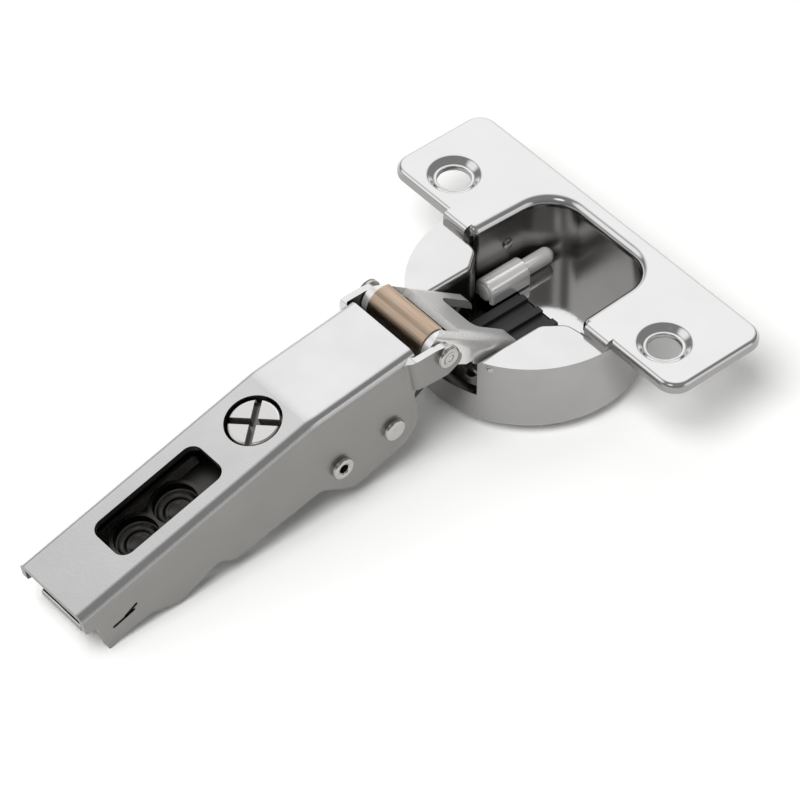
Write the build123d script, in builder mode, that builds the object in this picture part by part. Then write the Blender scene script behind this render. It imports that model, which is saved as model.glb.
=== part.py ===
# Concealed cup hinge for an overlay cabinet door, drawn with the door fully open.
# Frame: the origin is on the cup's axis, level with the underside of the flange, where the
# door's face lies. +Z points out of the door, +X from the arm's tail towards the cup, and
# +Y along the line of the flange's screw holes. Lengths are millimetres, angles degrees.
import os
from math import atan, atan2, cos, degrees, hypot, radians, sin, sqrt

from build123d import *

os.makedirs("parts", exist_ok=True)

# ---------------------------------------------------------------- fits
pin_fit = 0.05  # radial clearance of a pin that turns in its bore
seat_fit = 0.03  # radial clearance of a pin riveted into its seat
side_gap = 0.3  # clearance between pieces that pass or slide beside each other
tolerance = 0.01  # for picking the edges that lie on a plane
facing_up = 0.9  # cosine for picking the faces that look along a direction

# ---------------------------------------------------------------- cup and flange
cup_radius = 17.45
cup_lead = 0.05  # the wall is this much slimmer below the sill, to start into its bore
cup_depth = 11.7
cup_floor = 1.0
cup_wall = 1.6
cup_bottom_round = 0.9
sill_drop = 6.7  # the cup's front wall stops this far under the flange
channel_half_width = 7.4  # half the gap between the two lids on the cup's top
lid_corner_x = -5.0  # the lids' inner edges run straight up to here,
lid_curve_points = ((-3.2, 0.215), (-1.4, 0.595))  # X and share of the way out to the well,
lid_curve_end = (0.15, -1)  # ending in this direction
lid_edge_round = 0.7

flange_length = 61.0
flange_front_x = -0.1
flange_rear_lap = 0.35  # the flange reaches this far past the cup's back
flange_rear_x = cup_radius + flange_rear_lap
flange_thickness = 1.55
flange_corner = 3.0
flange_edge_round = 0.9
apron_front_x = -0.9  # the flange bulges forward over the lids up to here
apron_outer_y = 17.4
screw_spacing = 45.0
screw_line_x = 5.5
screw_hole_radius = 2.55
countersink_radius = 4.1
countersink_depth = 1.05

well_front_half = 11.35  # inner half-width of the drawn well at its open front
well_taper = 0.55  # the well is this much narrower on each side at its back wall
well_rear_half = well_front_half - well_taper
well_back_wall = 3.05  # from the well's back wall to the cup's outer wall
well_rear_x = cup_radius - well_back_wall
well_corner = 5.4
well_sheet = 0.9
well_depth = cup_depth - cup_floor - well_sheet
well_floor_front_x = 4.3
well_rim_round = 1.5
stud_radius = 0.85  # peened stud on each side wall of the well
stud_height = 0.2
stud_x = 6.0
stud_z = -4.3

# ---------------------------------------------------------------- linkage pivots, X and Z
front_pivot = (-22.1, 5.9)  # outer link on the arm
rear_pivot = (-30.8, -3.6)  # inner link on the arm, the pivot with room to float
outer_axle = (-9.8, -3.4)  # outer link in the cup
inner_axle = (-13.9, -3.8)  # inner link in the cup
float_offset = (0.57, 0.92)  # centre of the inner link's wide bore, from its pin
float_reach = 1.08  # how far the pin wanders from that centre as the door swings

outer_axle_radius = 1.3
inner_axle_radius = 1.1
outer_axle_grip = 2.0  # how deep each axle sits in the cup's side blocks
stub_inner_y = 5.5  # the outer link's axle is two stubs, which leave the middle to the inner link
inner_axle_grip = 1.0
arm_pin_radius = 1.25
rear_pin_radius = 1.2
pin_head_radius = 1.75
pin_head_height = 0.6

# ---------------------------------------------------------------- outer link
link_sheet = 1.2
link_half_width = 6.95
link_radius = 2.65  # rounding of both ends, and the web's height over the pivots
link_bend = 2.0
roll_room = 3.7  # the web stops this far from the front pivot
notch_depth = 6.4  # the web is notched back by this much from the outer axle
notch_half_width = 3.75
notch_corner = 1.4
axle_relief = 0.4  # room that the ears leave round the inner axle
relief_turn = 18.0  # the room follows the axle over the first part of the swing
door_relief_x = -16.0  # ahead of here, at the rim of the door's bore,
door_relief_z = 0.2  # both links stay this far over the door's face

# ---------------------------------------------------------------- inner link
lever_half_width = 5.2
lever_knuckle = 1.85
hook_half_width = 3.4  # the hook passes through the notch of the outer link
hook_thickness = 2.2
hook_x = -15.4  # middle of the hook where it rises inside the cup's rim
hook_z = 1.4  # and where it runs over the rim of the door's bore
hook_end_x = -21.0
hook_round = 1.2
ears_start = (-21.8, 1.8, -0.6)  # X, then top and bottom, where the lever widens to its ears
lever_ear_wall = 0.95
lever_fork_half = 2.3
lever_fork_start = 9.0  # the fork opens this far behind the inner axle
lever_fork_round = 1.4

# ---------------------------------------------------------------- arm
arm_tilt = 10.0
arm_sheet = 1.05
arm_half_width = 7.05
arm_bend = 1.5
plate_front = (-4.15, 3.22)  # the arm's outlines are measured from the front pivot,
plate_ridge = (-22.0, 4.26)  # along the arm and square to it
plate_tail = (-63.5, 0.55)
ridge_round = 10.0
arm_belly = (  # under the plate from its front end to its tail
    (-4.6, -2.9),
    (-5.7, -4.4),
    (-5.9, -10.4),
    (-8.6, -12.6),
    (-18.4, -13.6),
    (-23.5, -9.4),
    (-38.9, -9.95),
    (-41.5, -7.9),
    (-48.7, -10.0),
    (-53.2, -7.9),
    (-59.0, -7.9),
    (-60.9, -8.9),
    (-61.7, -3.0),
    (-63.5, -2.6),
)
arm_belly_rounds = (1.0, 1.0, 3.0, 3.0, 3.0, 2.0, 1.2, 1.5, 3.0, 3.0, 1.5, 0.4, 0.4, 0.3)
tail_slits = ((-56.2, -4.25, 2.6, 21.0), (-57.5, -4.85, 4.0, 7.0))  # place, length and slope
tail_slit_width = 0.5
window_start = 13.1  # behind the ridge, along the rear facet
window_length = 18.7
window_half_width = 3.7
window_corner = 1.8
screw_behind_ridge = 5.35
screw_hole_clearance = 0.35
cheek_gap = 0.2  # between the outer link's ears and the arm's flared cheeks
cheek_jog = 0.8  # length over which each cheek steps outward
cheek_start = -5.0
cheek_nose = (  # outline of the cheeks in front of the step, round the front pin
    (-1.6, 2.3),
    (0.2, 1.7),
    (2.6, -2.0),
    (1.9, -3.2),
    (-0.4, -3.9),
)
cheek_nose_rounds = (2.0, 1.0, 0.9, 0.9, 2.0)
cheek_root_top = 2.2
cheek_step_top = 2.9
cheek_step_bottom = -2.8
cheek_root_bottom = -3.4

# ---------------------------------------------------------------- spring roll
roll_radius = 2.9
roll_strip = 0.45
roll_half_width = 5.6
roll_lip_angle = 55.0
roll_leave = 165.0  # where the strip leaves the roll for its leaf
leaf_length = 4.5

# ---------------------------------------------------------------- carriage, screw and catch
carriage_pivot = (-19.6, -7.6)
carriage_pin_radius = 1.3
carriage_pin_bore = 0.75
carriage_half_width = 5.7
carriage_sheet = 1.0
carriage_lobe = 2.9
carriage_leg = 14.0  # height of the folded legs before they are trimmed to outline
carriage_bend = 1.3
carriage_front_top = -1.2
carriage_hem = ((-26.0, -8.9), (-52.0, -7.3), (-59.6, -7.2))  # lower edge of the legs
carriage_rounds = (0, 0, 2, 0, 0, 4, 4, 1)
web_depth = 3.7  # from the rear facet's top down to the carriage's web
web_front = -23.6
web_tail = carriage_hem[-1][0]
web_slot_inner = 3.0
web_slot_width = 1.5
web_slot_round = 0.6
web_slot_start = -35.4
web_slot_end = -53.6
bowl_radius = 3.3
bowl_places = (20.4, 27.4)  # behind the ridge
bowl_rim = 0.55
bowl_rim_height = 0.5

screw_head_radius = 3.8
screw_head_drop = 0.25
screw_stem_radius = 2.3
cross_width = 1.05
cross_depth = 1.1
cross_turn = 38.0
screw_edge_round = 0.4
screw_web_gap = 0.45  # room for the carriage to tip under the head and over the collar
collar_radius = 3.4
collar_height = 1.2

catch_pivot = (-56.6, -5.6)
catch_pin_radius = 0.9
catch_half_width = 4.3
catch_outline = (  # from the pin's lobe back over the finger tab and under to the hook
    (-2.8, 0.4),
    (-4.0, 1.3),
    (-6.3, 1.5),
    (-6.3, 0.4),
    (-4.4, 0.1),
    (-3.6, -1.3),
    (0.2, -1.4),
    (2.4, -2.5),
    (3.4, -1.8),
)
catch_rounds = (0.5, 0.5, 0.3, 0.3, 0.6, 0.6, 0.8, 0.4, 0.4)
catch_sheet = 1.0
catch_fork = 3.8  # the catch's two ears run this far behind its pin
catch_lobe = 1.6
coil_wire = 0.6
coil_turns = 5

# ---------------------------------------------------------------- dampers
damper_y = 8.8
damper_z = -8.2
hood_radius = 2.0
hood_front_x = -0.6
hood_length = 7.2
hood_foot = -9.5
hood_nose_round = 0.9
rod_radius = 1.3
rod_front_x = 2.6
rod_end_gap = 2.0  # from the rod's rounded end to the well's back wall
rod_end_round = 1.17
rod_rear_x = well_rear_x - rod_end_gap
insert_front_x = -8.0
insert_half_width = damper_y - hood_radius - side_gap
insert_base = 1.0
insert_rib_height = 1.8
insert_rib_width = 1.2
insert_ribs = 4

# ---------------------------------------------------------------- shared planes and places
link_length = hypot(outer_axle[0] - front_pivot[0], outer_axle[1] - front_pivot[1])
link_along = Vector(outer_axle[0] - front_pivot[0], 0, outer_axle[1] - front_pivot[1]).normalized()
link_up = Vector(-link_along.Z, 0, link_along.X)
front_point = Vector(front_pivot[0], 0, front_pivot[1])

side_plane = Plane.XZ
link_plane = Plane(origin=front_point, x_dir=link_along, z_dir=(0, -1, 0))
link_web_plane = Plane(origin=front_point, x_dir=link_along, z_dir=link_up)

arm_along = Vector(cos(radians(arm_tilt)), 0, sin(radians(arm_tilt)))
arm_up = Vector(-arm_along.Z, 0, arm_along.X)
arm_plane = Plane(origin=front_point, x_dir=arm_along, z_dir=(0, -1, 0))

facet_run = plate_ridge[0] - plate_tail[0]
facet_rise = plate_ridge[1] - plate_tail[1]
facet_length = hypot(facet_run, facet_rise)
facet_cos = facet_run / facet_length
facet_sin = facet_rise / facet_length
facet_along = arm_along * facet_cos + arm_up * facet_sin
facet_up = arm_up * facet_cos - arm_along * facet_sin
ridge_point = front_point + arm_along * plate_ridge[0] + arm_up * plate_ridge[1]
facet_plane = Plane(origin=ridge_point, x_dir=facet_along, z_dir=facet_up)


def facet_line(along, depth):
    """Point of the arm's outline on a line parallel to the rear facet, depth below it."""
    slope = facet_rise / facet_run
    return (along, plate_ridge[1] + (along - plate_ridge[0]) * slope - depth / facet_cos)


arm_inner_half = arm_half_width - arm_sheet
cheek_inner = link_half_width + cheek_gap
cheek_outer = cheek_inner + arm_sheet
well_outer_front = well_front_half + well_sheet
well_outer_x = well_rear_x + well_sheet


# ---------------------------------------------------------------- flange with its drawn well
def well_outline(front_x, grow):
    """Plan of the well, open at front_x, grown outward by grow."""
    slope = (well_front_half - well_rear_half) / well_rear_x
    front_half = well_front_half + grow - slope * front_x
    rear_half = well_rear_half + grow
    rear_x = well_rear_x + grow
    with BuildLine() as outline:
        FilletPolyline(
            (front_x, -front_half),
            (rear_x, -rear_half),
            (rear_x, rear_half),
            (front_x, front_half),
            radius=well_corner + grow,
        )
        Line((front_x, front_half), (front_x, -front_half))
    return outline.line


stud_wall = well_front_half - (well_front_half - well_rear_half) * stud_x / well_rear_x


def in_well_rim(edge):
    """True for the edges where the flange's top turns down into the well."""
    place = edge.center()
    return abs(place.Y) < well_outer_front and 0 < place.X < well_outer_x


with BuildPart() as cup_flange:
    with BuildSketch():
        with Locations(((flange_front_x + flange_rear_x) / 2, 0)):
            RectangleRounded(flange_rear_x - flange_front_x, flange_length, flange_corner)
    extrude(amount=flange_thickness)
    with BuildSketch():
        add(well_outline(flange_front_x, well_sheet))
        make_face()
    extrude(amount=-well_depth - well_sheet)
    with BuildSketch(Plane.XY.offset(-well_depth)):
        add(well_outline(apron_front_x - side_gap, 0))
        make_face()
    extrude(amount=well_depth + flange_thickness, mode=Mode.SUBTRACT)
    fillet(cup_flange.faces().sort_by(Axis.Z)[-1].edges().filter_by(in_well_rim), well_rim_round)
    plate_edges = cup_flange.faces().sort_by(Axis.Z)[-1].edges()
    fillet(plate_edges.filter_by(in_well_rim, reverse=True), flange_edge_round)
    with Locations((well_floor_front_x, 0, -well_depth - 2 * well_sheet)):
        Box(
            well_rear_x,
            2 * well_front_half,
            3 * well_sheet,
            align=(Align.MAX, Align.CENTER, Align.MIN),
            mode=Mode.SUBTRACT,
        )
    with BuildSketch(side_plane.offset(well_front_half + well_rim_round)):
        with BuildLine():
            Line((apron_front_x, 0), (apron_front_x, flange_thickness - flange_edge_round))
            JernArc((apron_front_x, flange_thickness - flange_edge_round), (0, 1), flange_edge_round, -90)
            Polyline(
                (apron_front_x + flange_edge_round, flange_thickness),
                (flange_front_x + flange_edge_round, flange_thickness),
                (flange_front_x + flange_edge_round, 0),
                (apron_front_x, 0),
            )
        make_face()
    lip = extrude(amount=apron_outer_y - well_front_half - well_rim_round)
    mirror(lip, about=Plane.XZ)
    countersink_half_angle = degrees(atan((countersink_radius - screw_hole_radius) / countersink_depth))
    with Locations(
        (screw_line_x, screw_spacing / 2, flange_thickness),
        (screw_line_x, -screw_spacing / 2, flange_thickness),
    ):
        CounterSinkHole(
            radius=screw_hole_radius,
            counter_sink_radius=countersink_radius,
            counter_sink_angle=2 * countersink_half_angle,
        )
    with BuildSketch(side_plane.offset(stud_wall - stud_height)):
        with Locations((stud_x, stud_z)):
            Circle(stud_radius)
    stud = extrude(amount=well_sheet)
    mirror(stud, about=Plane.XZ)
cup_flange.part.label = "cup_flange"
export_step(cup_flange.part, "parts/cup_flange.step")

# ---------------------------------------------------------------- die-cast cup body
lid_flare = well_front_half - channel_half_width

with BuildPart() as cup_body:
    with BuildSketch(Plane.XY.offset(-cup_depth)):
        Circle(cup_radius - cup_lead)
    extrude(amount=cup_depth - sill_drop)
    fillet(cup_body.edges().sort_by(Axis.Z)[0], cup_bottom_round)
    with BuildSketch(Plane.XY.offset(-sill_drop)):
        Circle(cup_radius)
    extrude(amount=sill_drop)
    with BuildSketch() as channel:
        with BuildLine():
            lid_edge = Line((-2 * cup_radius, -channel_half_width), (lid_corner_x, -channel_half_width))
            lid_curve = Spline(
                lid_edge @ 1,
                *[(x, -channel_half_width - share * lid_flare) for x, share in lid_curve_points],
                (apron_front_x, -well_front_half),
                tangents=(lid_edge % 1, lid_curve_end),
            )
            Line(lid_curve @ 1, (apron_front_x, 0))
            mirror(about=Plane.XZ)
            Line((-2 * cup_radius, -channel_half_width), (-2 * cup_radius, channel_half_width))
        make_face()
    extrude(amount=-sill_drop, mode=Mode.SUBTRACT)
    with BuildSketch(Plane.XY.offset(-sill_drop)):
        add(channel.sketch)
        Circle(cup_radius - cup_lead - cup_wall, mode=Mode.INTERSECT)
    extrude(amount=sill_drop + cup_floor - cup_depth, mode=Mode.SUBTRACT)
    lid_rim = cup_body.edges().filter_by_position(Axis.Z, -tolerance, tolerance).filter_by_position(
        Axis.Y, -well_front_half, well_front_half
    )
    lid_edges = lid_rim.filter_by(GeomType.CIRCLE, reverse=True)
    fillet(lid_edges.filter_by(lambda edge: abs(edge.center().Y) > 1), lid_edge_round)
    with BuildSketch():
        add(well_outline(apron_front_x - seat_fit, well_sheet + seat_fit))
        make_face()
    extrude(amount=cup_floor - cup_depth, mode=Mode.SUBTRACT)
    with BuildSketch(side_plane):
        with Locations(outer_axle):
            Circle(outer_axle_radius + seat_fit)
    extrude(amount=channel_half_width + outer_axle_grip, both=True, mode=Mode.SUBTRACT)
    with BuildSketch(side_plane):
        with Locations(inner_axle):
            Circle(inner_axle_radius + seat_fit)
    extrude(amount=channel_half_width + inner_axle_grip, both=True, mode=Mode.SUBTRACT)
cup_body.part.label = "cup_body"
export_step(cup_body.part, "parts/cup_body.step")

for side, hand in ((1, "left"), (-1, "right")):
    with BuildPart() as outer_link_axle:
        with BuildSketch(side_plane.offset(-side * stub_inner_y)):
            with Locations(outer_axle):
                Circle(outer_axle_radius)
        extrude(amount=-side * (channel_half_width + outer_axle_grip - seat_fit - stub_inner_y))
    outer_link_axle.part.label = f"outer_link_axle_{hand}"
    export_step(outer_link_axle.part, f"parts/outer_link_axle_{hand}.step")

with BuildPart() as inner_link_axle:
    with BuildSketch(side_plane):
        with Locations(inner_axle):
            Circle(inner_axle_radius)
    extrude(amount=channel_half_width + inner_axle_grip - seat_fit, both=True)
inner_link_axle.part.label = "inner_link_axle"
export_step(inner_link_axle.part, "parts/inner_link_axle.step")

# ---------------------------------------------------------------- outer link, a folded channel
def folded_section(plane, half_width, top, drop, sheet, bend):
    """Cross-section of a channel folded from sheet: legs drop below its top face."""
    leg = half_width - sheet / 2
    web = top - sheet / 2
    with BuildSketch(plane) as section:
        with BuildLine():
            FilletPolyline(
                (-leg, top - drop),
                (-leg, web),
                (leg, web),
                (leg, top - drop),
                radius=bend - sheet / 2,
            )
        trace(line_width=sheet)
    return section.sketch


def in_link(place):
    """A pivot's place along and above the outer link's line of pivots."""
    offset_x = place[0] - front_pivot[0]
    offset_z = place[1] - front_pivot[1]
    return (
        offset_x * link_along.X + offset_z * link_along.Z,
        offset_x * link_up.X + offset_z * link_up.Z,
    )


link_start = Plane(origin=front_point - link_along * link_radius, x_dir=(0, 1, 0), z_dir=link_along)
relief_radius = inner_axle_radius + axle_relief
relief_end = in_link(inner_axle)
relief_start = (2 * link_radius, -link_radius - relief_radius / 2)
axle_gap = hypot(outer_axle[0] - inner_axle[0], outer_axle[1] - inner_axle[1])
relief_angle = atan2(relief_end[1], relief_end[0] - link_length) + radians(relief_turn)
relief_follow = (link_length + axle_gap * cos(relief_angle), axle_gap * sin(relief_angle))

with BuildPart() as outer_link:
    extrude(
        folded_section(link_start, link_half_width, link_radius, 2 * link_radius, link_sheet, link_bend),
        amount=link_length + 2 * link_radius,
    )
    with BuildSketch(link_plane):
        with Locations((link_length / 2, 0)):
            SlotCenterToCenter(link_length, 2 * link_radius)
    extrude(amount=link_half_width, both=True, mode=Mode.INTERSECT)
    with BuildSketch(link_web_plane):
        with Locations((roll_room, 0)):
            Rectangle(
                roll_room + 2 * link_radius,
                2 * (link_half_width - link_sheet),
                align=(Align.MAX, Align.CENTER),
            )
        with Locations((link_length - notch_depth, 0)):
            RectangleRounded(
                notch_depth + 2 * link_radius,
                2 * notch_half_width,
                notch_corner,
                align=(Align.MIN, Align.CENTER),
            )
    extrude(amount=2 * link_radius, mode=Mode.SUBTRACT)
    with BuildSketch(link_plane):
        with Locations((0, 0)):
            Circle(arm_pin_radius + pin_fit)
        with Locations((link_length, 0)):
            Circle(outer_axle_radius + pin_fit)
        with Locations(relief_follow):
            Circle(relief_radius)
        SlotCenterPoint(
            ((relief_start[0] + relief_end[0]) / 2, (relief_start[1] + relief_end[1]) / 2),
            relief_end,
            2 * relief_radius,
        )
    with BuildSketch(side_plane):
        with Locations((door_relief_x, door_relief_z)):
            Rectangle(2 * cup_radius, 2 * cup_radius, align=(Align.MAX, Align.MAX))
    extrude(amount=link_half_width, both=True, mode=Mode.SUBTRACT)
outer_link.part.label = "outer_link"
export_step(outer_link.part, "parts/outer_link.step")

# ---------------------------------------------------------------- inner link, a hooked and forked lever
bore_centre = (rear_pivot[0] + float_offset[0], rear_pivot[1] + float_offset[1])
bore_radius = rear_pin_radius + float_reach + pin_fit
ear_radius = bore_radius + lever_ear_wall
ear_lean = ear_radius / 3  # the ear's outline leaves its round this far ahead of the bore

with BuildPart() as inner_link:
    with BuildSketch(side_plane):
        with BuildLine():
            FilletPolyline(
                (hook_x, inner_axle[1]),
                (hook_x, hook_z),
                (hook_end_x, hook_z),
                bore_centre,
                radius=hook_round,
            )
        trace(line_width=hook_thickness)
    extrude(amount=hook_half_width, both=True)
    with BuildSketch(side_plane):
        with Locations(bore_centre):
            Circle(ear_radius)
        with BuildLine():
            Polyline(
                (ears_start[0], ears_start[1]),
                (bore_centre[0] + ear_lean, bore_centre[1] + sqrt(ear_radius**2 - ear_lean**2)),
                (bore_centre[0], bore_centre[1] - ear_radius),
                (ears_start[0], ears_start[2]),
                close=True,
            )
        make_face()
        with Locations(inner_axle):
            Circle(lever_knuckle)
    extrude(amount=lever_half_width, both=True)
    with BuildSketch(side_plane):
        with Locations(bore_centre):
            Circle(bore_radius)
        with Locations(inner_axle):
            Circle(inner_axle_radius + pin_fit)
    extrude(amount=lever_half_width, both=True, mode=Mode.SUBTRACT)
    with BuildSketch():
        with Locations((inner_axle[0] - lever_fork_start, 0)):
            RectangleRounded(
                4 * ear_radius,
                2 * lever_fork_half,
                lever_fork_round,
                align=(Align.MAX, Align.CENTER),
            )
    extrude(amount=4 * ear_radius, both=True, mode=Mode.SUBTRACT)
inner_link.part.label = "inner_link"
export_step(inner_link.part, "parts/inner_link.step")

# ---------------------------------------------------------------- arm, folded from sheet
arm_top_plane = Plane(origin=front_point, x_dir=arm_along, z_dir=arm_up)


def in_arm(place):
    """A pivot's place along and above the arm, measured from the front pivot."""
    offset_x = place[0] - front_pivot[0]
    offset_z = place[1] - front_pivot[1]
    return (
        offset_x * arm_along.X + offset_z * arm_along.Z,
        offset_x * arm_up.X + offset_z * arm_up.Z,
    )


def arm_outline():
    """Side outline of the arm."""
    with BuildLine() as outline:
        FilletPolyline(
            plate_tail,
            plate_ridge,
            plate_front,
            *arm_belly,
            radius=(0, ridge_round, 0, *arm_belly_rounds),
            close=True,
        )
    return outline.line


rear_pin_place = in_arm(rear_pivot)

with BuildPart() as cheek:
    with BuildSketch(arm_plane):
        with BuildLine():
            FilletPolyline(
                (cheek_start - 2 * cheek_jog, cheek_root_top),
                (cheek_start, cheek_step_top),
                *cheek_nose,
                (cheek_start, cheek_step_bottom),
                (cheek_start - 2 * cheek_jog, cheek_root_bottom),
                radius=(0, cheek_jog / 2, *cheek_nose_rounds, cheek_jog / 2, 0),
                close=True,
            )
        make_face()
        Circle(arm_pin_radius + seat_fit, mode=Mode.SUBTRACT)
    extrude(amount=cheek_outer)
    with BuildSketch(arm_top_plane):
        with BuildLine():
            FilletPolyline(
                (cheek_start - 3 * cheek_jog, arm_sheet / 2 - arm_half_width),
                (cheek_start - cheek_jog, arm_sheet / 2 - arm_half_width),
                (cheek_start, arm_sheet / 2 - cheek_outer),
                (-2 * cheek_start, arm_sheet / 2 - cheek_outer),
                radius=arm_sheet,
            )
        trace(line_width=arm_sheet)
    extrude(amount=2 * cheek_outer, both=True, mode=Mode.INTERSECT)

with BuildPart() as arm_shell:
    with BuildSketch(arm_plane):
        add(arm_outline())
        make_face()
    extrude(amount=arm_half_width, both=True)
    arm_top = arm_shell.faces().filter_by(lambda face: face.normal_at().dot(arm_up) > facing_up)
    arm_folds = arm_top.edges().filter_by(lambda edge: abs(edge.center().Y) > arm_half_width - tolerance)
    fillet(arm_folds, arm_bend)
    with BuildSketch(arm_plane):
        with BuildLine():
            FilletPolyline(
                (plate_tail[0], plate_tail[1] - arm_sheet),
                (plate_ridge[0], plate_ridge[1] - arm_sheet),
                (plate_front[0], plate_front[1] - arm_sheet),
                radius=ridge_round,
            )
            Polyline(
                (plate_front[0], plate_front[1] - arm_sheet),
                (-plate_front[0], plate_front[1] - arm_sheet),
                (-plate_front[0], plate_tail[0] / 2),
                (2 * plate_tail[0], plate_tail[0] / 2),
                (2 * plate_tail[0], plate_tail[1] - arm_sheet),
                (plate_tail[0], plate_tail[1] - arm_sheet),
            )
        make_face()
    extrude(amount=arm_inner_half, both=True, mode=Mode.SUBTRACT)
    add(cheek.part)
    mirror(cheek.part, about=Plane.XZ)
    with BuildSketch(arm_plane):
        with Locations(rear_pin_place):
            Circle(rear_pin_radius + seat_fit)
        with Locations(carriage_pivot):
            Circle(carriage_pin_radius + seat_fit)
        for along, above, length, slope in tail_slits:
            with Locations((along, above)):
                SlotOverall(length, tail_slit_width, rotation=slope)
    extrude(amount=arm_half_width, both=True, mode=Mode.SUBTRACT)
    with BuildSketch(facet_plane):
        with Locations((-window_start, 0)):
            RectangleRounded(
                window_length, 2 * window_half_width, window_corner, align=(Align.MAX, Align.CENTER)
            )
        with Locations((-screw_behind_ridge, 0)):
            Circle(screw_head_radius + screw_hole_clearance)
    extrude(amount=2 * arm_sheet, both=True, mode=Mode.SUBTRACT)
arm_shell.part.label = "arm_shell"
export_step(arm_shell.part, "parts/arm_shell.step")


# ---------------------------------------------------------------- rivets of the arm
def rivet(plane_place, shank_radius, head_radius, seat_half_width, hollow_radius):
    """A rivet across the arm with a flat head outside each wall."""
    with BuildPart() as blank:
        with BuildSketch(arm_plane):
            with Locations(plane_place):
                Circle(shank_radius)
        extrude(amount=seat_half_width, both=True)
        with BuildSketch(arm_plane.offset(seat_half_width)):
            with Locations(plane_place):
                Circle(head_radius)
        extrude(amount=pin_head_height)
        fillet(blank.edges().sort_by(Axis.Y)[0], pin_head_height / 2)
        with BuildSketch(arm_plane.offset(-seat_half_width)):
            with Locations(plane_place):
                Circle(head_radius)
        extrude(amount=-pin_head_height)
        fillet(blank.edges().sort_by(Axis.Y)[-1], pin_head_height / 2)
        if hollow_radius:
            with BuildSketch(arm_plane):
                with Locations(plane_place):
                    Circle(hollow_radius)
            extrude(amount=2 * seat_half_width, both=True, mode=Mode.SUBTRACT)
    return blank.part


with BuildPart() as front_pin:
    add(rivet((0, 0), arm_pin_radius, pin_head_radius, cheek_outer, 0))
front_pin.part.label = "front_pin"
export_step(front_pin.part, "parts/front_pin.step")

with BuildPart() as rear_pin:
    add(rivet(rear_pin_place, rear_pin_radius, pin_head_radius, arm_half_width, 0))
rear_pin.part.label = "rear_pin"
export_step(rear_pin.part, "parts/rear_pin.step")

with BuildPart() as carriage_pin:
    add(rivet(carriage_pivot, carriage_pin_radius, pin_head_radius, arm_half_width, carriage_pin_bore))
carriage_pin.part.label = "carriage_pin"
export_step(carriage_pin.part, "parts/carriage_pin.step")

# ---------------------------------------------------------------- closing spring on its bush
roll_middle = roll_radius - roll_strip / 2

with BuildPart() as closing_spring:
    with BuildSketch(arm_plane):
        with BuildLine():
            turn = CenterArc((0, 0), roll_middle, roll_lip_angle, roll_leave - roll_lip_angle)
            Line(turn @ 1, turn @ 1 + (turn % 1) * leaf_length)
        trace(line_width=roll_strip)
    extrude(amount=roll_half_width, both=True)
closing_spring.part.label = "closing_spring"
export_step(closing_spring.part, "parts/closing_spring.step")

with BuildPart() as spring_bush:
    with BuildSketch(arm_plane):
        Circle(roll_radius - roll_strip - side_gap / 3)
        Circle(arm_pin_radius + seat_fit, mode=Mode.SUBTRACT)
    extrude(amount=roll_half_width + side_gap / 3, both=True)
spring_bush.part.label = "spring_bush"
export_step(spring_bush.part, "parts/spring_bush.step")

# ---------------------------------------------------------------- carriage inside the arm
carriage_start = Plane(
    origin=ridge_point + facet_along * (web_tail - plate_ridge[0]) / facet_cos,
    x_dir=(0, 1, 0),
    z_dir=facet_along,
)

with BuildPart() as carriage:
    extrude(
        folded_section(
            carriage_start,
            carriage_half_width,
            -web_depth,
            carriage_leg,
            carriage_sheet,
            carriage_bend,
        ),
        amount=-web_tail,
    )
    with BuildSketch(arm_plane):
        with BuildLine():
            FilletPolyline(
                facet_line(web_tail, 0),
                facet_line(web_front, 0),
                (web_front, carriage_front_top),
                (carriage_pivot[0], carriage_pivot[1] + carriage_lobe),
                (carriage_pivot[0], carriage_pivot[1] - carriage_lobe / 2),
                *carriage_hem,
                radius=carriage_rounds,
                close=True,
            )
        make_face()
        with Locations(carriage_pivot):
            Circle(carriage_lobe)
    extrude(amount=carriage_half_width, both=True, mode=Mode.INTERSECT)
    slot_length = web_slot_start - web_slot_end
    slot_middle = (web_slot_start + web_slot_end) / 2 - plate_ridge[0]
    with BuildSketch(facet_plane.offset(-web_depth)):
        with GridLocations(0, 2 * web_slot_inner + web_slot_width, 1, 2):
            with Locations((slot_middle, 0)):
                RectangleRounded(slot_length, web_slot_width, web_slot_round)
    extrude(amount=-2 * carriage_sheet, both=True, mode=Mode.SUBTRACT)
    with BuildSketch(facet_plane.offset(-web_depth - carriage_sheet)):
        for behind in bowl_places:
            with Locations((-behind, 0)):
                Circle(bowl_radius + bowl_rim)
    extrude(amount=carriage_sheet + bowl_rim_height)
    with BuildSketch(facet_plane.offset(-web_depth)):
        for behind in bowl_places:
            with Locations((-behind, 0)):
                Circle(bowl_radius)
        with Locations((-screw_behind_ridge, 0)):
            SlotCenterToCenter(4 * side_gap, 2 * (screw_stem_radius + side_gap / 2))
    extrude(amount=-2 * carriage_sheet, both=True, mode=Mode.SUBTRACT)
    with BuildSketch(arm_plane):
        with Locations(carriage_pivot):
            Circle(carriage_pin_radius + pin_fit)
        with Locations(catch_pivot):
            Circle(catch_pin_radius + seat_fit)
    extrude(amount=carriage_half_width, both=True, mode=Mode.SUBTRACT)
carriage.part.label = "carriage"
export_step(carriage.part, "parts/carriage.step")

# ---------------------------------------------------------------- side adjusting screw
head_bottom = web_depth - screw_web_gap
collar_top = web_depth + carriage_sheet + screw_web_gap

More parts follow.
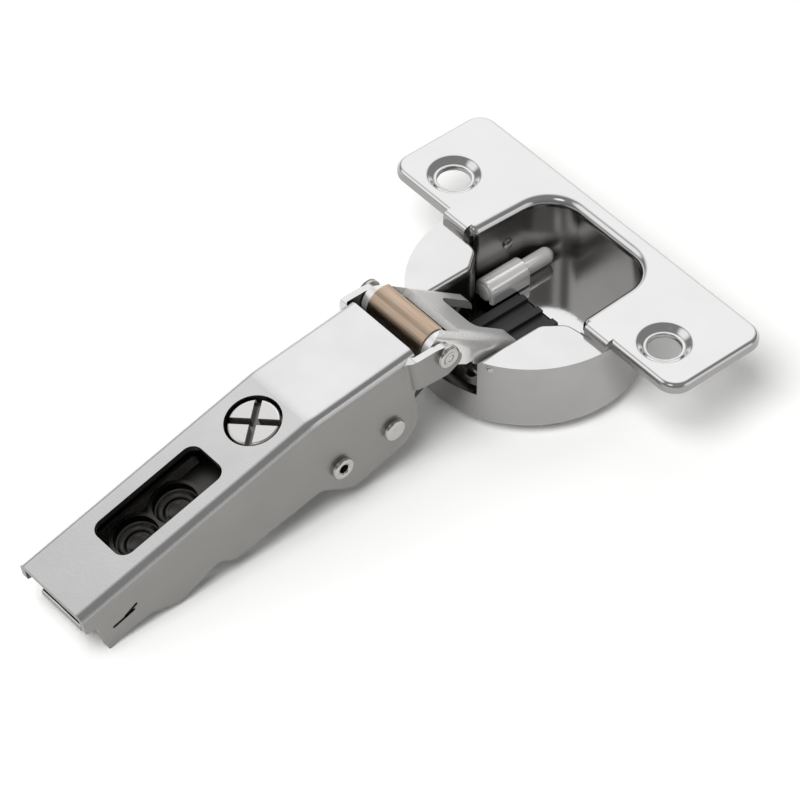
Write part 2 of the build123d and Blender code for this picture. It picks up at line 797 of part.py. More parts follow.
with BuildPart() as side_screw:
    with BuildSketch(facet_plane.offset(-head_bottom)):
        with Locations((-screw_behind_ridge, 0)):
            Circle(screw_head_radius)
    extrude(amount=head_bottom - screw_head_drop)
    fillet(side_screw.faces().sort_by(Axis(ridge_point, facet_up))[-1].edges(), screw_edge_round)
    with BuildSketch(facet_plane.offset(-screw_head_drop)):
        with Locations((-screw_behind_ridge, 0)):
            with PolarLocations(0, 2, start_angle=cross_turn, angular_range=180):
                Rectangle(3 * screw_head_radius, cross_width)
    extrude(amount=-cross_depth, mode=Mode.SUBTRACT)
    with BuildSketch(facet_plane.offset(-head_bottom)):
        with Locations((-screw_behind_ridge, 0)):
            Circle(screw_stem_radius)
    extrude(amount=head_bottom - collar_top - collar_height)
side_screw.part.label = "side_screw"
export_step(side_screw.part, "parts/side_screw.step")

with BuildPart() as screw_collar:
    with BuildSketch(facet_plane.offset(-collar_top)):
        with Locations((-screw_behind_ridge, 0)):
            Circle(collar_radius)
            Circle(screw_stem_radius + seat_fit, mode=Mode.SUBTRACT)
    extrude(amount=-collar_height)
screw_collar.part.label = "screw_collar"
export_step(screw_collar.part, "parts/screw_collar.step")

# ---------------------------------------------------------------- release catch at the tail
with BuildPart() as release_catch:
    with BuildSketch(arm_plane):
        with Locations(catch_pivot):
            Circle(catch_lobe)
        with BuildLine():
            FilletPolyline(
                (catch_pivot[0], catch_pivot[1] + catch_lobe),
                *[(catch_pivot[0] + along, catch_pivot[1] + above) for along, above in catch_outline],
                (catch_pivot[0] + catch_lobe, catch_pivot[1]),
                radius=(0, *catch_rounds, 0),
                close=True,
            )
        make_face()
    extrude(amount=catch_half_width, both=True)
    with BuildSketch(arm_plane):
        with Locations((catch_pivot[0] - catch_fork, catch_pivot[1])):
            Rectangle(2 * catch_fork, 2 * catch_fork, align=(Align.MIN, Align.CENTER))
    extrude(amount=catch_half_width - catch_sheet, both=True, mode=Mode.SUBTRACT)
    with BuildSketch(arm_plane):
        with Locations(catch_pivot):
            Circle(catch_pin_radius + pin_fit)
    extrude(amount=catch_half_width, both=True, mode=Mode.SUBTRACT)
release_catch.part.label = "release_catch"
export_step(release_catch.part, "parts/release_catch.step")

with BuildPart() as catch_pin:
    with BuildSketch(arm_plane):
        with Locations(catch_pivot):
            Circle(catch_pin_radius)
    extrude(amount=carriage_half_width, both=True)
catch_pin.part.label = "catch_pin"
export_step(catch_pin.part, "parts/catch_pin.step")

with BuildPart() as catch_spring:
    with BuildSketch(arm_plane):
        with Locations(catch_pivot):
            Circle(catch_pin_radius + seat_fit + coil_wire)
            Circle(catch_pin_radius + seat_fit, mode=Mode.SUBTRACT)
    extrude(amount=coil_turns * coil_wire / 2, both=True)
catch_spring.part.label = "catch_spring"
export_step(catch_spring.part, "parts/catch_spring.step")

# ---------------------------------------------------------------- dampers and their insert
hood_skirt = damper_z - hood_foot
for side, hand in ((1, "left"), (-1, "right")):
    with BuildPart() as damper_rod:
        with BuildSketch(Plane.YZ.offset(rod_front_x)):
            with Locations((side * damper_y, damper_z)):
                Circle(rod_radius)
        extrude(amount=rod_rear_x - rod_front_x)
        fillet(damper_rod.edges().sort_by(Axis.X)[-1], rod_end_round)
    damper_rod.part.label = f"damper_rod_{hand}"
    export_step(damper_rod.part, f"parts/damper_rod_{hand}.step")

    with BuildPart() as damper_hood:
        with BuildSketch(Plane.YZ.offset(hood_front_x)):
            with Locations((side * damper_y, damper_z)):
                Circle(hood_radius)
                Rectangle(2 * hood_radius, hood_skirt, align=(Align.CENTER, Align.MAX))
            with Locations((side * damper_y, hood_foot)):
                Rectangle(4 * hood_radius, hood_radius, align=(Align.CENTER, Align.MAX), mode=Mode.SUBTRACT)
        extrude(amount=hood_length)
        fillet(damper_hood.edges().group_by(Axis.X)[0].filter_by(GeomType.CIRCLE), hood_nose_round / 2)
        with BuildSketch(Plane.YZ.offset(hood_front_x)):
            with Locations((side * damper_y, damper_z)):
                Circle(rod_radius + pin_fit)
                Rectangle(2 * (rod_radius + pin_fit), 2 * hood_radius, align=(Align.CENTER, Align.MAX))
        extrude(amount=hood_length, mode=Mode.SUBTRACT)
    damper_hood.part.label = f"damper_hood_{hand}"
    export_step(damper_hood.part, f"parts/damper_hood_{hand}.step")

with BuildPart() as damper_insert:
    insert_floor = cup_floor - cup_depth
    insert_length = well_floor_front_x - side_gap - insert_front_x
    with Locations((insert_front_x, 0, insert_floor)):
        Box(insert_length, 2 * insert_half_width, insert_base, align=(Align.MIN, Align.CENTER, Align.MIN))
    with Locations((insert_front_x, 0, insert_floor)):
        with GridLocations(0, 2 * insert_half_width / insert_ribs, 1, insert_ribs):
            Box(
                insert_length,
                insert_rib_width,
                insert_rib_height,
                align=(Align.MIN, Align.CENTER, Align.MIN),
            )
damper_insert.part.label = "damper_insert"
export_step(damper_insert.part, "parts/damper_insert.step")
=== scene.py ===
import math
import bpy
from mathutils import Matrix, Vector


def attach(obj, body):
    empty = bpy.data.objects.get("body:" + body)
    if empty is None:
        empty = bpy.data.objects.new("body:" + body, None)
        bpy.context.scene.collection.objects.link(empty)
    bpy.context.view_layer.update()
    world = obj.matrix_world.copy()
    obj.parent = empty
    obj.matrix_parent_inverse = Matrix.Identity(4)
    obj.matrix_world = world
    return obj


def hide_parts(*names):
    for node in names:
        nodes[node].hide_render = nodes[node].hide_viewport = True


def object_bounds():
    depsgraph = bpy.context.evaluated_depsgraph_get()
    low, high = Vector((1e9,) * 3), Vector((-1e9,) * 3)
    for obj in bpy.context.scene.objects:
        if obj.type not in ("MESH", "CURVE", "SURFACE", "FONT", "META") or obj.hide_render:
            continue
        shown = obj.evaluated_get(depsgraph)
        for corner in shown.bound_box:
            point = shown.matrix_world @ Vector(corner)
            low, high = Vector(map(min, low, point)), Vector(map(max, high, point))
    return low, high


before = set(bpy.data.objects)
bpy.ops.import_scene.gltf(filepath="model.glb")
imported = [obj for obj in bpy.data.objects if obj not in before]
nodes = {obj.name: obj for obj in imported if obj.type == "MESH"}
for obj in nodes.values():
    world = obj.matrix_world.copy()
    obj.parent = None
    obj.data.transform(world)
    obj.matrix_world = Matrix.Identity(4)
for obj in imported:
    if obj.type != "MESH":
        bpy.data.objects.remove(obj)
cadLow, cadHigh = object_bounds()
print("frame loaded")


def linearColour(hexText):
    channels = [int(hexText[i:i + 2], 16) / 255 for i in (1, 3, 5)]
    return [c / 12.92 if c <= 0.04045 else ((c + 0.055) / 1.055) ** 2.4 for c in channels] + [1.0]


def metres(millimetres):
    return millimetres / 1000  # a length or a vector


def perMetre(millimetres):
    return 1000 / millimetres  # a texture's scale for a detail of that size


def addObject(name, data):
    thing = bpy.data.objects.new(name, data)
    bpy.context.scene.collection.objects.link(thing)
    return thing


def emptyMaterial(name):
    material = bpy.data.materials.new(name)
    material.use_nodes = True
    material.node_tree.nodes.clear()
    return material


def addNode(tree, kind, settings=None, links=None):
    # settings holds attributes and input values, links holds output sockets by input name
    node = tree.nodes.new(kind)
    for name, value in (settings or {}).items():
        if isinstance(name, str) and hasattr(node, name):
            setattr(node, name, value)
        else:
            node.inputs[name].default_value = value
    for name, socket in (links or {}).items():
        tree.links.new(socket, node.inputs[name])
    return node


def towards(azimuth, elevation):
    a, e = math.radians(azimuth), math.radians(elevation)
    return Vector((math.cos(a) * math.cos(e), math.sin(a) * math.cos(e), math.sin(e)))


# studio: places in metres, angles in degrees
studio = {
    "cameraPlace": (-0.31013, -0.34125, 0.44705),
    "cameraRight": (0.76524, -0.64374, -0.00094),
    "cameraUp": (0.46060, 0.54651, 0.69942),
    "lens": 204.38,
    "sensor": 36.0,
    "nearest": 0.01,
    "floorSize": 6.0,
    "floorColour": "#FAFAF9",
    "dimSky": 0.22,
    "softboxes": [
        {"azimuth": 50, "elevation": 45, "inner": 12, "outer": 44, "strength": 0.79},
        {"azimuth": 134, "elevation": 38, "inner": 9, "outer": 26, "strength": 0.70},
        {"azimuth": -66, "elevation": 22, "inner": 9, "outer": 22, "strength": 0.62},
        {"azimuth": 200, "elevation": 52, "inner": 5, "outer": 13, "strength": 0.85},
    ],
    "horizon": {"low": 4, "high": 16, "strength": 0.62},
    "topLamp": {"azimuth": 195, "elevation": 62, "distance": 0.9, "size": 0.60, "power": 7.0,
                "target": (-0.03, 0, 0)},
}

camera = addObject("camera", bpy.data.cameras.new("camera"))
camera.data.lens = studio["lens"]
camera.data.sensor_width = studio["sensor"]
camera.data.clip_start = studio["nearest"]
rightWay = Vector(studio["cameraRight"]).normalized()
upWay = Vector(studio["cameraUp"])
upWay = (upWay - rightWay * upWay.dot(rightWay)).normalized()
cameraTurn = Matrix((rightWay, upWay, rightWay.cross(upWay))).transposed()
camera.matrix_world = Matrix.Translation(studio["cameraPlace"]) @ cameraTurn.to_4x4()
bpy.context.scene.camera = camera
bpy.context.scene.view_settings.view_transform = "Standard"

# the sky: a dim dome, a lighter band at the horizon and a glow for each soft box
world = bpy.data.worlds.new("studio")
bpy.context.scene.world = world
world.use_nodes = True
sky = world.node_tree
sky.nodes.clear()
band = studio["horizon"]
skyWay = addNode(sky, "ShaderNodeTexCoord")
skySplit = addNode(sky, "ShaderNodeSeparateXYZ", links={0: skyWay.outputs["Generated"]})
skyLevel = addNode(sky, "ShaderNodeMapRange", {
    "interpolation_type": "SMOOTHSTEP",
    "From Min": math.sin(math.radians(band["low"])),
    "From Max": math.sin(math.radians(band["high"])),
    "To Min": band["strength"] + studio["dimSky"],
    "To Max": studio["dimSky"]}, {"Value": skySplit.outputs["Z"]})
for box in studio["softboxes"]:
    aim = towards(box["azimuth"], box["elevation"])
    boxAngle = addNode(sky, "ShaderNodeVectorMath", {"operation": "DOT_PRODUCT", 1: aim},
                       {0: skyWay.outputs["Generated"]})
    boxGlow = addNode(sky, "ShaderNodeMapRange", {
        "interpolation_type": "SMOOTHSTEP",
        "From Min": math.cos(math.radians(box["outer"])),
        "From Max": math.cos(math.radians(box["inner"])),
        "To Min": 0.0, "To Max": box["strength"]}, {"Value": boxAngle.outputs["Value"]})
    skyLevel = addNode(sky, "ShaderNodeMath", {"operation": "ADD"},
                       {0: skyLevel.outputs[0], 1: boxGlow.outputs[0]})
skyLight = addNode(sky, "ShaderNodeBackground", {"Color": (1, 1, 1, 1)},
                   {"Strength": skyLevel.outputs[0]})
addNode(sky, "ShaderNodeOutputWorld", links={"Surface": skyLight.outputs[0]})

lamp = studio["topLamp"]
lampWay = towards(lamp["azimuth"], lamp["elevation"])
topLamp = addObject("topLamp", bpy.data.lights.new("topLamp", "AREA"))
topLamp.data.shape = "DISK"
topLamp.data.size = lamp["size"]
topLamp.data.energy = lamp["power"]
topLamp.visible_glossy = False  # the plate mirrors the soft boxes, not the lamp
topLamp.location = lampWay * lamp["distance"] + Vector(lamp["target"])
topLamp.rotation_euler = lampWay.to_track_quat("Z", "Y").to_euler()

half, ground = studio["floorSize"] / 2, cadLow.z
floorMesh = bpy.data.meshes.new("floor")
floorMesh.from_pydata([(-half, -half, ground), (half, -half, ground),
                       (half, half, ground), (-half, half, ground)], [], [(0, 1, 2, 3)])
floor = addObject("floor", floorMesh)
paper = emptyMaterial("mattStudioPaper")
matt = addNode(paper.node_tree, "ShaderNodeBsdfDiffuse",
               {"Color": linearColour(studio["floorColour"])})
addNode(paper.node_tree, "ShaderNodeOutputMaterial", links={"Surface": matt.outputs[0]})
floorMesh.materials.append(paper)
print("studio set")

# plated metals: colours and roughness of flats and of walls, grain and cloud sizes in mm; the
# darker wall colours are painted shade on faces that turn sideways.
# The grain is drawn coarser than the real one, so that it shows.
finishes = {
    # cold-rolled steel sheet with bright nickel plate: mirror-like flats, satin folded walls
    # darkened with painted shade
    "nickelPlatedSheet": {"flat": "#ECEBEB", "wall": "#8F8E8C", "flatRough": 0.17,
                          "wallRough": 0.36, "grain": 0.35, "cloud": 7.0, "bump": 0.06,
                          "mottle": 0.06, "metallic": 1.0},
    # the outer link is tumbled bright all over; metallic below 1 keeps small rounded pieces
    # pale next to the dark well
    "brightNickelPlate": {"flat": "#F4F3F2", "wall": "#E4E3E1", "flatRough": 0.30,
                          "wallRough": 0.20, "grain": 0.9, "cloud": 5.0, "bump": 0.015,
                          "mottle": 0.05, "metallic": 0.65},
    # the damper's hoods and rods are barrel plated: pale, with soft bright streaks
    "barrelNickelPlate": {"flat": "#FAF9F8", "wall": "#FAF9F8", "flatRough": 0.16,
                          "wallRough": 0.14, "grain": 0.5, "cloud": 4.0, "bump": 0.02,
                          "mottle": 0.05, "metallic": 0.52},
    # inside the arm the carriage and the inner link are phosphated: dark and dull
    "phosphatedSteel": {"flat": "#5E5D5A", "wall": "#3A3937", "flatRough": 0.34,
                        "wallRough": 0.40, "grain": 0.3, "cloud": 4.0, "bump": 0.08,
                        "mottle": 0.10, "metallic": 1.0},
    # the flange is drawn and polished before it is plated: the clearest mirror, its walls
    # darkened with painted shade
    "polishedNickelPlate": {"flat": "#EEEDED", "wall": "#9E9D9B", "flatRough": 0.08,
                            "wallRough": 0.24, "grain": 0.5, "cloud": 9.0, "bump": 0.03,
                            "mottle": 0.04, "metallic": 1.0},
    # die-cast zinc under nickel: smooth lids, satin side darkened with painted shade
    "platedZincCasting": {"flat": "#ECEBEB", "wall": "#A7A6A5", "flatRough": 0.14,
                          "wallRough": 0.30, "grain": 0.6, "cloud": 6.0, "bump": 0.05,
                          "mottle": 0.05, "metallic": 1.0},
    # turned and peened steel: even and bright
    "turnedBrightSteel": {"flat": "#CFCECB", "wall": "#B9B8B5", "flatRough": 0.2,
                          "wallRough": 0.2, "grain": 0.3, "cloud": 3.0, "bump": 0.05,
                          "mottle": 0.05, "metallic": 1.0},
}
# what all finishes share: the upright part of a face's normal at which it is a full flat or a
# full wall, where the clouds fade, the relief's depth in metres and the noises' detail
common = {"flatUpright": 0.75, "wallUpright": 0.35, "cloudLow": 0.3, "cloudHigh": 0.7,
          "relief": 0.0001, "fineDetail": 2.0, "broadDetail": 3.0}


def plateFinish(name, look):
    material = emptyMaterial(name)
    tree = material.node_tree
    place = addNode(tree, "ShaderNodeTexCoord")
    way = addNode(tree, "ShaderNodeSeparateXYZ", links={0: place.outputs["Normal"]})
    upright = addNode(tree, "ShaderNodeMath", {"operation": "ABSOLUTE"}, {0: way.outputs["Z"]})
    wall = addNode(tree, "ShaderNodeMapRange", {
        "From Min": common["flatUpright"], "From Max": common["wallUpright"]},
        {"Value": upright.outputs[0]})
    cloud = addNode(tree, "ShaderNodeTexNoise", {
        "Scale": perMetre(look["cloud"]), "Detail": common["broadDetail"]},
        {"Vector": place.outputs["Object"]})
    grain = addNode(tree, "ShaderNodeTexNoise", {
        "Scale": perMetre(look["grain"]), "Detail": common["fineDetail"]},
        {"Vector": place.outputs["Object"]})
    # painted shade: faces that turn sideways take the darker wall colour
    colour = addNode(tree, "ShaderNodeMix", {
        "data_type": "RGBA", 6: linearColour(look["flat"]), 7: linearColour(look["wall"])},
        {0: wall.outputs[0]})
    shade = addNode(tree, "ShaderNodeMapRange", {
        "From Min": common["cloudLow"], "From Max": common["cloudHigh"],
        "To Min": 1 - look["mottle"], "To Max": 1.0}, {"Value": cloud.outputs[0]})
    toned = addNode(tree, "ShaderNodeVectorMath", {"operation": "SCALE"},
                    {0: colour.outputs[2], "Scale": shade.outputs[0]})
    rough = addNode(tree, "ShaderNodeMapRange", {
        "To Min": look["flatRough"], "To Max": look["wallRough"]}, {"Value": wall.outputs[0]})
    speck = addNode(tree, "ShaderNodeMath", {
        "operation": "MULTIPLY_ADD", 1: look["mottle"], 2: -look["mottle"] / 2},
        {0: grain.outputs[0]})
    roughness = addNode(tree, "ShaderNodeMath", {"operation": "ADD"},
                        {0: rough.outputs[0], 1: speck.outputs[0]})
    relief = addNode(tree, "ShaderNodeBump", {
        "Strength": look["bump"], "Distance": common["relief"]}, {"Height": grain.outputs[0]})
    metal = addNode(tree, "ShaderNodeBsdfPrincipled", {"Metallic": look["metallic"]}, {
        "Base Color": toned.outputs[0], "Roughness": roughness.outputs[0],
        "Normal": relief.outputs[0]})
    addNode(tree, "ShaderNodeOutputMaterial", links={"Surface": metal.outputs[0]})
    return material


made = {name: plateFinish(name, look) for name, look in finishes.items()}

# painted shade on the casting's inside: a dull grey colour below the lids and within the wall, in
# mm
paintedInsideShade = {"colour": "#55534F", "inner": 14.9, "outer": 15.7, "deep": -1.7, "shallow": -1.1}
tree = made["platedZincCasting"].node_tree
plate = next(node for node in tree.nodes if node.type == "BSDF_PRINCIPLED")
place = addNode(tree, "ShaderNodeTexCoord")
split = addNode(tree, "ShaderNodeSeparateXYZ", links={0: place.outputs["Object"]})
level = addNode(tree, "ShaderNodeVectorMath", {"operation": "MULTIPLY", 1: (1, 1, 0)},
                {0: place.outputs["Object"]})
reach = addNode(tree, "ShaderNodeVectorMath", {"operation": "LENGTH"}, {0: level.outputs[0]})
beyond = addNode(tree, "ShaderNodeMapRange", {
    "From Min": metres(paintedInsideShade["inner"]), "From Max": metres(paintedInsideShade["outer"])},
    {"Value": reach.outputs["Value"]})
above = addNode(tree, "ShaderNodeMapRange", {
    "From Min": metres(paintedInsideShade["deep"]), "From Max": metres(paintedInsideShade["shallow"])},
    {"Value": split.outputs["Z"]})
unshaded = addNode(tree, "ShaderNodeMath", {"operation": "MAXIMUM"},
                 {0: beyond.outputs[0], 1: above.outputs[0]})
# painted shade: the inside of the cup takes the dull grey colour
tone = addNode(tree, "ShaderNodeMix", {"data_type": "RGBA", 6: linearColour(paintedInsideShade["colour"])},
               {0: unshaded.outputs[0], 7: plate.inputs["Base Color"].links[0].from_socket})
tree.links.new(tone.outputs[2], plate.inputs["Base Color"])

# tempered spring strip: bronze brown oxide, drawn lines along the strip's width
spring = {"light": "#E6CFB8", "dark": "#AA937F", "rough": 0.30, "line": 0.25, "stretch": 30,
          "bump": 0.12}
made["temperedSpringSteel"] = emptyMaterial("temperedSpringSteel")
tree = made["temperedSpringSteel"].node_tree
place = addNode(tree, "ShaderNodeTexCoord")
drawn = addNode(tree, "ShaderNodeMapping", {"Scale": (1, 1 / spring["stretch"], 1)},
                {"Vector": place.outputs["Object"]})
lines = addNode(tree, "ShaderNodeTexNoise", {
    "Scale": perMetre(spring["line"]), "Detail": common["broadDetail"]},
    {"Vector": drawn.outputs[0]})
tint = addNode(tree, "ShaderNodeMix", {
    "data_type": "RGBA", 6: linearColour(spring["dark"]), 7: linearColour(spring["light"])},
    {0: lines.outputs[0]})
relief = addNode(tree, "ShaderNodeBump", {
    "Strength": spring["bump"], "Distance": common["relief"]}, {"Height": lines.outputs[0]})
metal = addNode(tree, "ShaderNodeBsdfPrincipled", {"Metallic": 1.0, "Roughness": spring["rough"]},
                {"Base Color": tint.outputs[2], "Normal": relief.outputs[0]})
addNode(tree, "ShaderNodeOutputMaterial", links={"Surface": metal.outputs[0]})

# the side screw: bright head, its cross darkened with painted shade towards the bottom of the
# slots; depths and grain in mm
cross = {"bright": "#F4F3F1", "dark": "#807E7B", "top": 0.25, "fade": 0.45, "edge": 0.1,
         "rough": 0.2, "grain": 0.4, "bump": 0.05}
# the arm's rear facet, which the screw and the carriage's web follow: a point and its normal
facetPoint = Vector((-0.04967, 0, 0.00488))
facetUp = Vector((-0.260648, 0, 0.965434))
topLevel = facetPoint.dot(facetUp) - metres(cross["top"])
made["punchedScrewSteel"] = emptyMaterial("punchedScrewSteel")
tree = made["punchedScrewSteel"].node_tree
place = addNode(tree, "ShaderNodeTexCoord")
height = addNode(tree, "ShaderNodeVectorMath", {"operation": "DOT_PRODUCT", 1: facetUp},
                 {0: place.outputs["Object"]})
depth = addNode(tree, "ShaderNodeMapRange", {
    "From Min": topLevel - metres(cross["fade"]), "From Max": topLevel - metres(cross["edge"])},
    {"Value": height.outputs["Value"]})
grain = addNode(tree, "ShaderNodeTexNoise", {
    "Scale": perMetre(cross["grain"]), "Detail": common["fineDetail"]},
    {"Vector": place.outputs["Object"]})
# painted shade: the slots grow darker the deeper they go
tone = addNode(tree, "ShaderNodeMix", {
    "data_type": "RGBA", 6: linearColour(cross["dark"]), 7: linearColour(cross["bright"])},
    {0: depth.outputs[0]})
relief = addNode(tree, "ShaderNodeBump", {
    "Strength": cross["bump"], "Distance": common["relief"]}, {"Height": grain.outputs[0]})
metal = addNode(tree, "ShaderNodeBsdfPrincipled", {"Metallic": 1.0, "Roughness": cross["rough"]},
                {"Base Color": tone.outputs[2], "Normal": relief.outputs[0]})
addNode(tree, "ShaderNodeOutputMaterial", links={"Surface": metal.outputs[0]})

# moulded plastics, grain in mm, with a faint unevenness from the mould
plastics = {
    # filled nylon insert in the cup: nearly black, half matt
    "mouldedNylonBlack": {"colour": "#2C2C2D", "rough": 0.42, "grain": 0.4, "bump": 0.08},
    # acetal bush in the spring's roll: milky, smoother
    "acetalWhite": {"colour": "#E9E7E2", "rough": 0.3, "grain": 0.5, "bump": 0.05},
}
unevenness = {"low": 0.75, "high": 1.15}


def plasticFinish(name, look):
    material = emptyMaterial(name)
    tree = material.node_tree
    place = addNode(tree, "ShaderNodeTexCoord")
    grain = addNode(tree, "ShaderNodeTexNoise", {
        "Scale": perMetre(look["grain"]), "Detail": common["fineDetail"]},
        {"Vector": place.outputs["Object"]})
    shade = addNode(tree, "ShaderNodeMapRange", {
        "To Min": unevenness["low"], "To Max": unevenness["high"]}, {"Value": grain.outputs[0]})
    tone = addNode(tree, "ShaderNodeVectorMath", {
        "operation": "SCALE", 0: linearColour(look["colour"])[:3]}, {"Scale": shade.outputs[0]})
    relief = addNode(tree, "ShaderNodeBump", {
        "Strength": look["bump"], "Distance": common["relief"]}, {"Height": grain.outputs[0]})
    shell = addNode(tree, "ShaderNodeBsdfPrincipled", {"Roughness": look["rough"]},
                    {"Base Color": tone.outputs[0], "Normal": relief.outputs[0]})
    addNode(tree, "ShaderNodeOutputMaterial", links={"Surface": shell.outputs[0]})
    return material


made.update({name: plasticFinish(name, look) for name, look in plastics.items()})

finishOf = {
    "nickelPlatedSheet": ["arm_shell", "release_catch"],
    "brightNickelPlate": ["outer_link"],
    "barrelNickelPlate": ["damper_hood_left", "damper_hood_right",
                          "damper_rod_left", "damper_rod_right"],
    "phosphatedSteel": ["carriage", "inner_link"],
    "polishedNickelPlate": ["cup_flange"],
    "platedZincCasting": ["cup_body"],
    "turnedBrightSteel": ["outer_link_axle_left", "outer_link_axle_right", "inner_link_axle",
                          "front_pin", "rear_pin", "carriage_pin", "screw_collar", "catch_pin"],
    "punchedScrewSteel": ["side_screw"],
    "temperedSpringSteel": ["closing_spring", "catch_spring"],
    "mouldedNylonBlack": ["damper_insert"],
    "acetalWhite": ["spring_bush"],
}
for finish, names in finishOf.items():
    for name in names:
        for slot in nodes[name].material_slots:
            slot.material = made[finish]
print("finishes on")


def nodeBox(name):
    corners = [nodes[name].matrix_world @ Vector(corner) for corner in nodes[name].bound_box]
    return (Vector([min(corner[i] for corner in corners) for i in range(3)]),
            Vector([max(corner[i] for corner in corners) for i in range(3)]))


def evaluatedMesh(thing):
    bpy.context.view_layer.update()
    return bpy.data.meshes.new_from_object(
        thing.evaluated_get(bpy.context.evaluated_depsgraph_get()))


def addPiece(name, mesh, finish, body):
    piece = addObject(name, mesh)
    mesh.materials.clear()
    mesh.materials.append(made[finish])
    for face in mesh.polygons:
        face.use_smooth = True
    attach(piece, body)
    return piece


# small turned shapes: steps round the axis, and the radius in mm under which an end is closed
turning = {"segments": 48, "nub": 0.1}


def turned(name, profile):
    # a profile of (radius, height) in mm, turned about Z
    segments = turning["segments"]
    points, faces = [], []
    for radius, height in profile:
        for k in range(segments):
            turn = 2 * math.pi * k / segments
            across, beside = radius * math.cos(turn), radius * math.sin(turn)
            points.append(metres(Vector((across, beside, height))))
    for row in range(len(profile) - 1):
        for k in range(segments):
            a = row * segments + k
            b = row * segments + (k + 1) % segments
            faces.append((a, b, b + segments, a + segments))
    if profile[0][0] < turning["nub"]:
        faces.append(list(reversed(range(segments))))
    if profile[-1][0] < turning["nub"]:
        faces.append([(len(profile) - 1) * segments + k for k in range(segments)])
    mesh = bpy.data.meshes.new(name)
    mesh.from_pydata(points, [], faces)
    return mesh


def placingTree(material):
    # stands a copy of the shape on every point, its Z along the point's axis
    tree = bpy.data.node_groups.new("shapeOnEnds", "GeometryNodeTree")
    sockets = tree.interface
    sockets.new_socket("Geometry", in_out="INPUT", socket_type="NodeSocketGeometry")
    shape = sockets.new_socket("Shape", in_out="INPUT", socket_type="NodeSocketObject")
    sockets.new_socket("Geometry", in_out="OUTPUT", socket_type="NodeSocketGeometry")
    given = addNode(tree, "NodeGroupInput")
    source = addNode(tree, "GeometryNodeObjectInfo", links={"Object": given.outputs["Shape"]})
    axis = addNode(tree, "GeometryNodeInputNamedAttribute",
                   {"data_type": "FLOAT_VECTOR", "Name": "axis"})
    upright = addNode(tree, "FunctionNodeAlignRotationToVector", {"axis": "Z"},
                      {"Vector": axis.outputs["Attribute"]})
    copies = addNode(tree, "GeometryNodeInstanceOnPoints", links={
        "Points": given.outputs["Geometry"], "Instance": source.outputs["Geometry"],
        "Rotation": upright.outputs["Rotation"]})
    plain = addNode(tree, "GeometryNodeRealizeInstances", links={"Geometry": copies.outputs[0]})
    coated = addNode(tree, "GeometryNodeSetMaterial", {"Material": material},
                     {"Geometry": plain.outputs[0]})
    result = addNode(tree, "NodeGroupOutput")
    tree.links.new(coated.outputs[0], result.inputs[0])
    return tree, shape.identifier


def onEnds(name, profile, ends, finish, body):
    # one piece: the turned profile on each (centre, axis) of ends, in metres
    shape = addObject(name + "Shape", turned(name + "Shape", profile))
    spots = bpy.data.meshes.new(name + "Spots")
    spots.from_pydata([centre for centre, axis in ends], [], [])
    axes = spots.attributes.new("axis", "FLOAT_VECTOR", "POINT")
    for k, (centre, axis) in enumerate(ends):
        axes.data[k].vector = axis
    holder = addObject(name + "Spots", spots)
    tree, shapeInput = placingTree(made[finish])
    modifier = holder.modifiers.new("shapeOnEnds", "NODES")
    modifier.node_group = tree
    modifier[shapeInput] = shape
    mesh = evaluatedMesh(holder)
    bpy.data.objects.remove(holder)
    bpy.data.objects.remove(shape)
    return addPiece(name, mesh, finish, body)


# rivet heads, upset over the ends of the pins: (radius, height) over the pin's end, in mm
rivets = {
    # a raised ring round a small nub
    "front_pin": {"piece": "frontRivetHeads", "profile": [
        (1.72, -0.05), (1.72, 0.02), (1.62, 0.14), (1.38, 0.24), (1.12, 0.26), (1.02, 0.12),
        (0.62, 0.08), (0.5, 0.2), (0.34, 0.26), (0.18, 0.28), (0.02, 0.28)]},
    # nearly flat, with a shallow ring pressed into it
    "rear_pin": {"piece": "rearRivetHeads", "profile": [
        (1.72, -0.05), (1.72, 0.02), (1.6, 0.14), (1.3, 0.26), (0.9, 0.33), (0.8, 0.27),
        (0.5, 0.25), (0.2, 0.32), (0.02, 0.33)]},
    # rolled over the edge of the hollow pin
    "carriage_pin": {"piece": "carriageRivetHeads", "profile": [
        (1.72, -0.05), (1.72, 0.02), (1.6, 0.16), (1.34, 0.24), (1.06, 0.2), (0.86, 0.06),
        (0.8, -0.05)]},
}
for pin, rivet in rivets.items():
    low, high = nodeBox(pin)
    middle = (low + high) / 2
    ends = [(Vector((middle.x, high.y, middle.z)), Vector((0, 1, 0))),
            (Vector((middle.x, low.y, middle.z)), Vector((0, -1, 0)))]
    onEnds(rivet["piece"], rivet["profile"], ends, "turnedBrightSteel", "arm")

# peened lugs in the cup's wall, under the tips of its lids: mm, and degrees from the tail's side
lugs = {"radius": 17.45, "turn": 31.0, "depth": 0.95, "profile": [
    (0.62, -0.1), (0.6, 0.04), (0.48, 0.05), (0.42, -0.02), (0.36, 0.1), (0.24, 0.18),
    (0.1, 0.2), (0.02, 0.2)]}
lugEnds = []
for side in (1, -1):
    turn = math.radians(180 - side * lugs["turn"])
    outward = Vector((math.cos(turn), math.sin(turn), 0))
    down = Vector((0, 0, metres(lugs["depth"])))
    lugEnds.append((metres(outward * lugs["radius"]) - down, outward))
onEnds("peenedLugs", lugs["profile"], lugEnds, "turnedBrightSteel", "cup")

# rolled lips of the flange's countersunk holes: place and (radius, height) in mm
lips = {"line": 5.5, "across": 22.5, "top": 1.55, "profile": [
    (4.4, -0.03), (4.3, 0.006), (4.14, 0.004), (4.04, -0.012), (3.92, -0.06), (3.75, -0.17),
    (3.5, -0.34), (3.2, -0.55), (2.98, -0.7), (2.82, -0.76), (2.66, -0.77), (2.54, -0.8),
    (2.48, -0.9), (2.48, -1.46), (2.56, -1.52)]}
lipEnds = [(metres(Vector((lips["line"], side * lips["across"], lips["top"]))),
            Vector((0, 0, 1))) for side in (1, -1)]
onEnds("countersinkLips", lips["profile"], lipEnds, "polishedNickelPlate", "cup")

